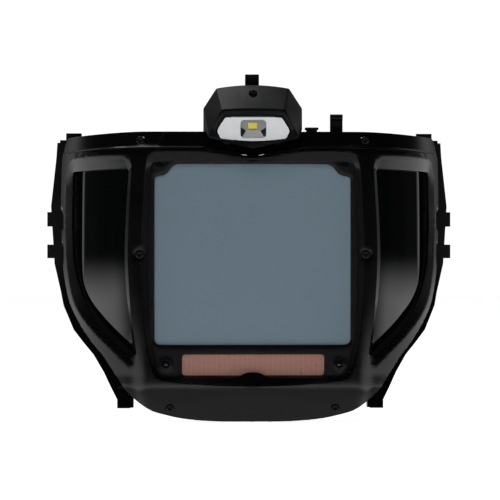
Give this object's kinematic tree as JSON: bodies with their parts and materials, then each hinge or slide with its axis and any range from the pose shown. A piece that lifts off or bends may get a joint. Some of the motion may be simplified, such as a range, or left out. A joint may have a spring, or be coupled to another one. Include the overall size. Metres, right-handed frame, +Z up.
{
  "type": "welding helmet visor",
  "caption": "Wrap-round black welding visor with a large auto-darkening filter, solar strip, dark side windows, headlamp and a rear frame that screws to the helmet crown.",
  "frame": {"origin": "middle of the four fastening holes on the back face of the rear frame, on the plane of symmetry", "axes": "+Z up, the visor looks along -Y, +X to the right as seen from in front"},
  "size_m": [0.219, 0.092, 0.1788],
  "materials": {
    "shell_black": "satin moulded nylon, polished on the ridges",
    "bezel_black": "satin moulded plastic",
    "case_black": "satin moulded plastic",
    "frame_black": "fine spark texture",
    "lamp_black": "satin, fine spark texture",
    "control_black": "satin moulded plastic",
    "control_red": "satin moulded plastic",
    "cover_clear": "clear hard-coated polycarbonate",
    "filter_glass": "interference-coated, blue-grey",
    "lcd_glass": "clear",
    "foam_black": "closed-cell foam",
    "solar_cell": "amorphous cell with fine lines",
    "sensor_dark": "glossy dark lens",
    "board_green": "solder mask",
    "component_blue": "moulded",
    "switch_metal": "tinned",
    "cell_steel": "nickel plated",
    "side_tint": "dark green polycarbonate",
    "seal_rubber": "matt",
    "lamp_clear": "clear polycarbonate",
    "reflector_chrome": "vacuum metallised",
    "led_phosphor": "phosphor in clear resin",
    "board_white": "white solder mask on aluminium",
    "battery_wrap": "shrink wrap",
    "button_black": "satin",
    "pin_steel": "plain",
    "screw_black": "black oxide"
  },
  "bodies": {
    "visor": {"front_shell": "shell_black", "brow_band": "shell_black", "lens_bezel": "bezel_black", "front_cover_lens": "cover_clear", "filter_front_case": "case_black", "filter_rear_case": "case_black", "uv_ir_filter": "filter_glass", "lcd_cell_outer": "lcd_glass", "lcd_cell_inner": "lcd_glass", "cell_foam": "foam_black", "solar_panel": "solar_cell", "arc_sensors": "sensor_dark", "circuit_board": "board_green", "potentiometers": "component_blue", "mode_switch": "switch_metal", "test_switch": "switch_metal", "coin_cells": "cell_steel", "inner_cover_lens": "cover_clear", "cartridge_clamps": "frame_black", "side_window_left": "side_tint", "side_window_right": "side_tint", "side_seal_left": "seal_rubber", "side_seal_right": "seal_rubber", "side_retainer_left": "frame_black", "side_retainer_right": "frame_black", "rear_frame": "frame_black", "crown_tab": "frame_black", "lamp_housing": "lamp_black", "lamp_rear_cover": "lamp_black", "lamp_window": "lamp_clear", "lamp_reflector": "reflector_chrome", "lamp_led": "led_phosphor", "lamp_board": "board_white", "lamp_battery": "battery_wrap", "lamp_switch": "switch_metal", "lever_pin": "pin_steel", "lever_spring": "pin_steel", "side_screws": "screw_black", "top_screws": "screw_black", "chin_screws": "screw_black", "lamp_screw": "screw_black"},
    "battery_cover_left": {"battery_cover_left": "control_black"},
    "battery_cover_right": {"battery_cover_right": "control_black"},
    "shade_knob": {"shade_knob": "control_black"},
    "sensitivity_knob": {"sensitivity_knob": "control_black"},
    "delay_knob": {"delay_knob": "control_black"},
    "grind_slider": {"grind_slider": "control_red"},
    "test_button": {"test_button": "control_red"},
    "lamp_button": {"lamp_button": "button_black"},
    "release_lever": {"release_lever": "frame_black"}
  },
  "joints": [
    {"name": "shade_turn", "type": "hinge", "parent": "visor", "child": "shade_knob", "pos_m": [-0.016, -0.051, -0.057], "axis": [0, 1, 0], "range_deg": [-135, 135]},
    {"name": "sensitivity_turn", "type": "hinge", "parent": "visor", "child": "sensitivity_knob", "pos_m": [0, -0.051, -0.057], "axis": [0, 1, 0], "range_deg": [-135, 135]},
    {"name": "delay_turn", "type": "hinge", "parent": "visor", "child": "delay_knob", "pos_m": [0.016, -0.051, -0.057], "axis": [0, 1, 0], "range_deg": [-135, 135]},
    {"name": "battery_cover_left_turn", "type": "hinge", "parent": "visor", "child": "battery_cover_left", "pos_m": [-0.0395, -0.052, -0.0628], "axis": [0, 1, 0], "range_deg": [0, 45]},
    {"name": "battery_cover_right_turn", "type": "hinge", "parent": "visor", "child": "battery_cover_right", "pos_m": [0.0395, -0.052, -0.0628], "axis": [0, 1, 0], "range_deg": [0, 45]},
    {"name": "grind_slide", "type": "slide", "parent": "visor", "child": "grind_slider", "axis": [1, 0, 0], "range_m": [0, 0.0045]},
    {"name": "test_press", "type": "slide", "parent": "visor", "child": "test_button", "axis": [0, -1, 0], "range_m": [0, 0.0009], "stiffness_N_per_m": 300},
    {"name": "lamp_press", "type": "slide", "parent": "visor", "child": "lamp_button", "axis": [0, 0, -1], "range_m": [0, 0.0012], "stiffness_N_per_m": 300},
    {"name": "lever_tilt", "type": "hinge", "parent": "visor", "child": "release_lever", "pos_m": [0.0433, -0.064, 0.0562], "axis": [-1, 0, 0], "range_deg": [0, 20], "stiffness_Nm_per_rad": 0.02}
  ]
}
